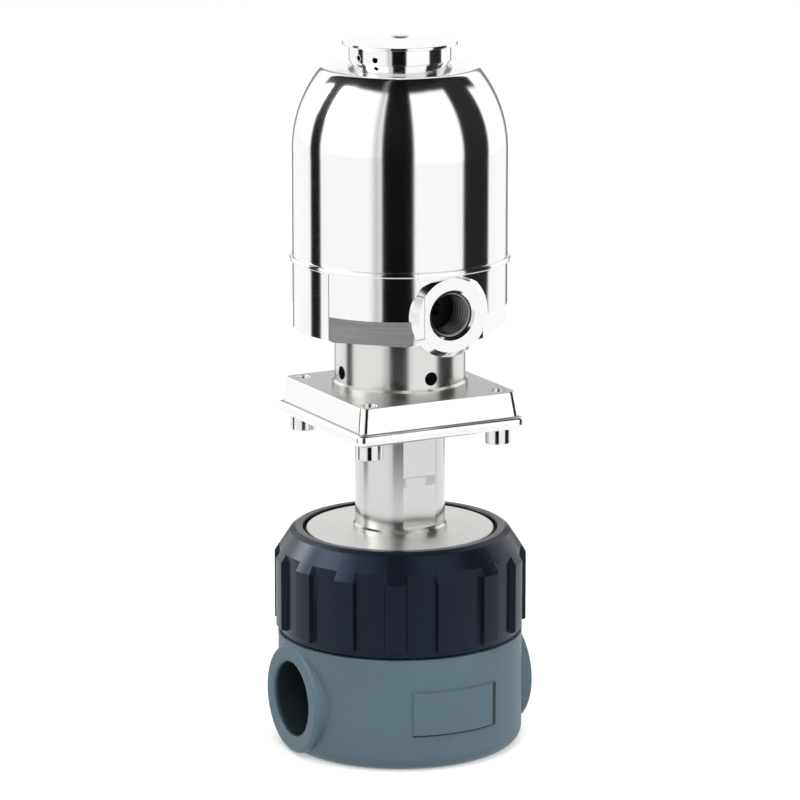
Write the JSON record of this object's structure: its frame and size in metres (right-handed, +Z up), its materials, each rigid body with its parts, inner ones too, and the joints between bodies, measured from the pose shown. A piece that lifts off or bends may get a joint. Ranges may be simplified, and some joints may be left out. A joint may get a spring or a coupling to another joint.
{
  "type": "pneumatic diaphragm control valve",
  "caption": "Upright air-operated diaphragm valve: grey plastic body with two sockets in line, ribbed union nut, square flange and polished dome actuator.",
  "frame": {"origin": "centre of the valve body's base face", "axes": "+Z up along the spindle, +X along the pipe towards the outlet, air port facing -Y"},
  "size_m": [0.0668, 0.067, 0.1895],
  "materials": {
    "grey_pvc": "moulded grey PVC-U, fine satin",
    "black_plastic": "moulded blue-black glass filled plastic, semi gloss",
    "polished_steel": "stainless steel, mirror polished",
    "satin_steel": "stainless steel, turned and satin finished",
    "screw_steel": "stainless steel fasteners, bright",
    "spring_steel": "oiled spring wire",
    "aluminium": "turned, anodised natural",
    "brass": "turned brass",
    "rubber": "EPDM rubber, matt",
    "bearing_plastic": "PTFE, waxy white",
    "presser_plastic": "PVDF, natural"
  },
  "bodies": {
    "housing": {"valve_body": "grey_pvc", "mounting_inserts": "brass", "diaphragm": "rubber", "bonnet": "satin_steel", "spindle_seals": "rubber", "lower_guide_bush": "bearing_plastic", "upper_guide_bush": "bearing_plastic", "union_nut": "black_plastic", "neck_tube": "satin_steel", "lower_flange_plate": "satin_steel", "upper_flange_plate": "satin_steel", "flange_screws": "screw_steel", "distance_piece": "satin_steel", "base_housing": "polished_steel", "dome_seal": "rubber", "dome": "polished_steel", "top_cap": "polished_steel", "cap_seal": "rubber", "outer_spring": "spring_steel", "inner_spring": "spring_steel"},
    "spindle_assembly": {"spindle": "satin_steel", "piston": "aluminium", "piston_seal": "rubber", "piston_washer": "screw_steel", "piston_locknut": "screw_steel", "compressor": "presser_plastic", "compressor_pin": "screw_steel", "diaphragm_stud": "screw_steel", "indicator_pin": "satin_steel"}
  },
  "joints": [
    {"name": "spindle_stroke", "type": "slide", "parent": "housing", "child": "spindle_assembly", "axis": [0, 0, 1], "range_m": [0, 0.006], "stiffness_N_per_m": 1500, "springref_m": -0.001, "deforming": ["outer_spring", "inner_spring", "diaphragm"]}
  ]
}
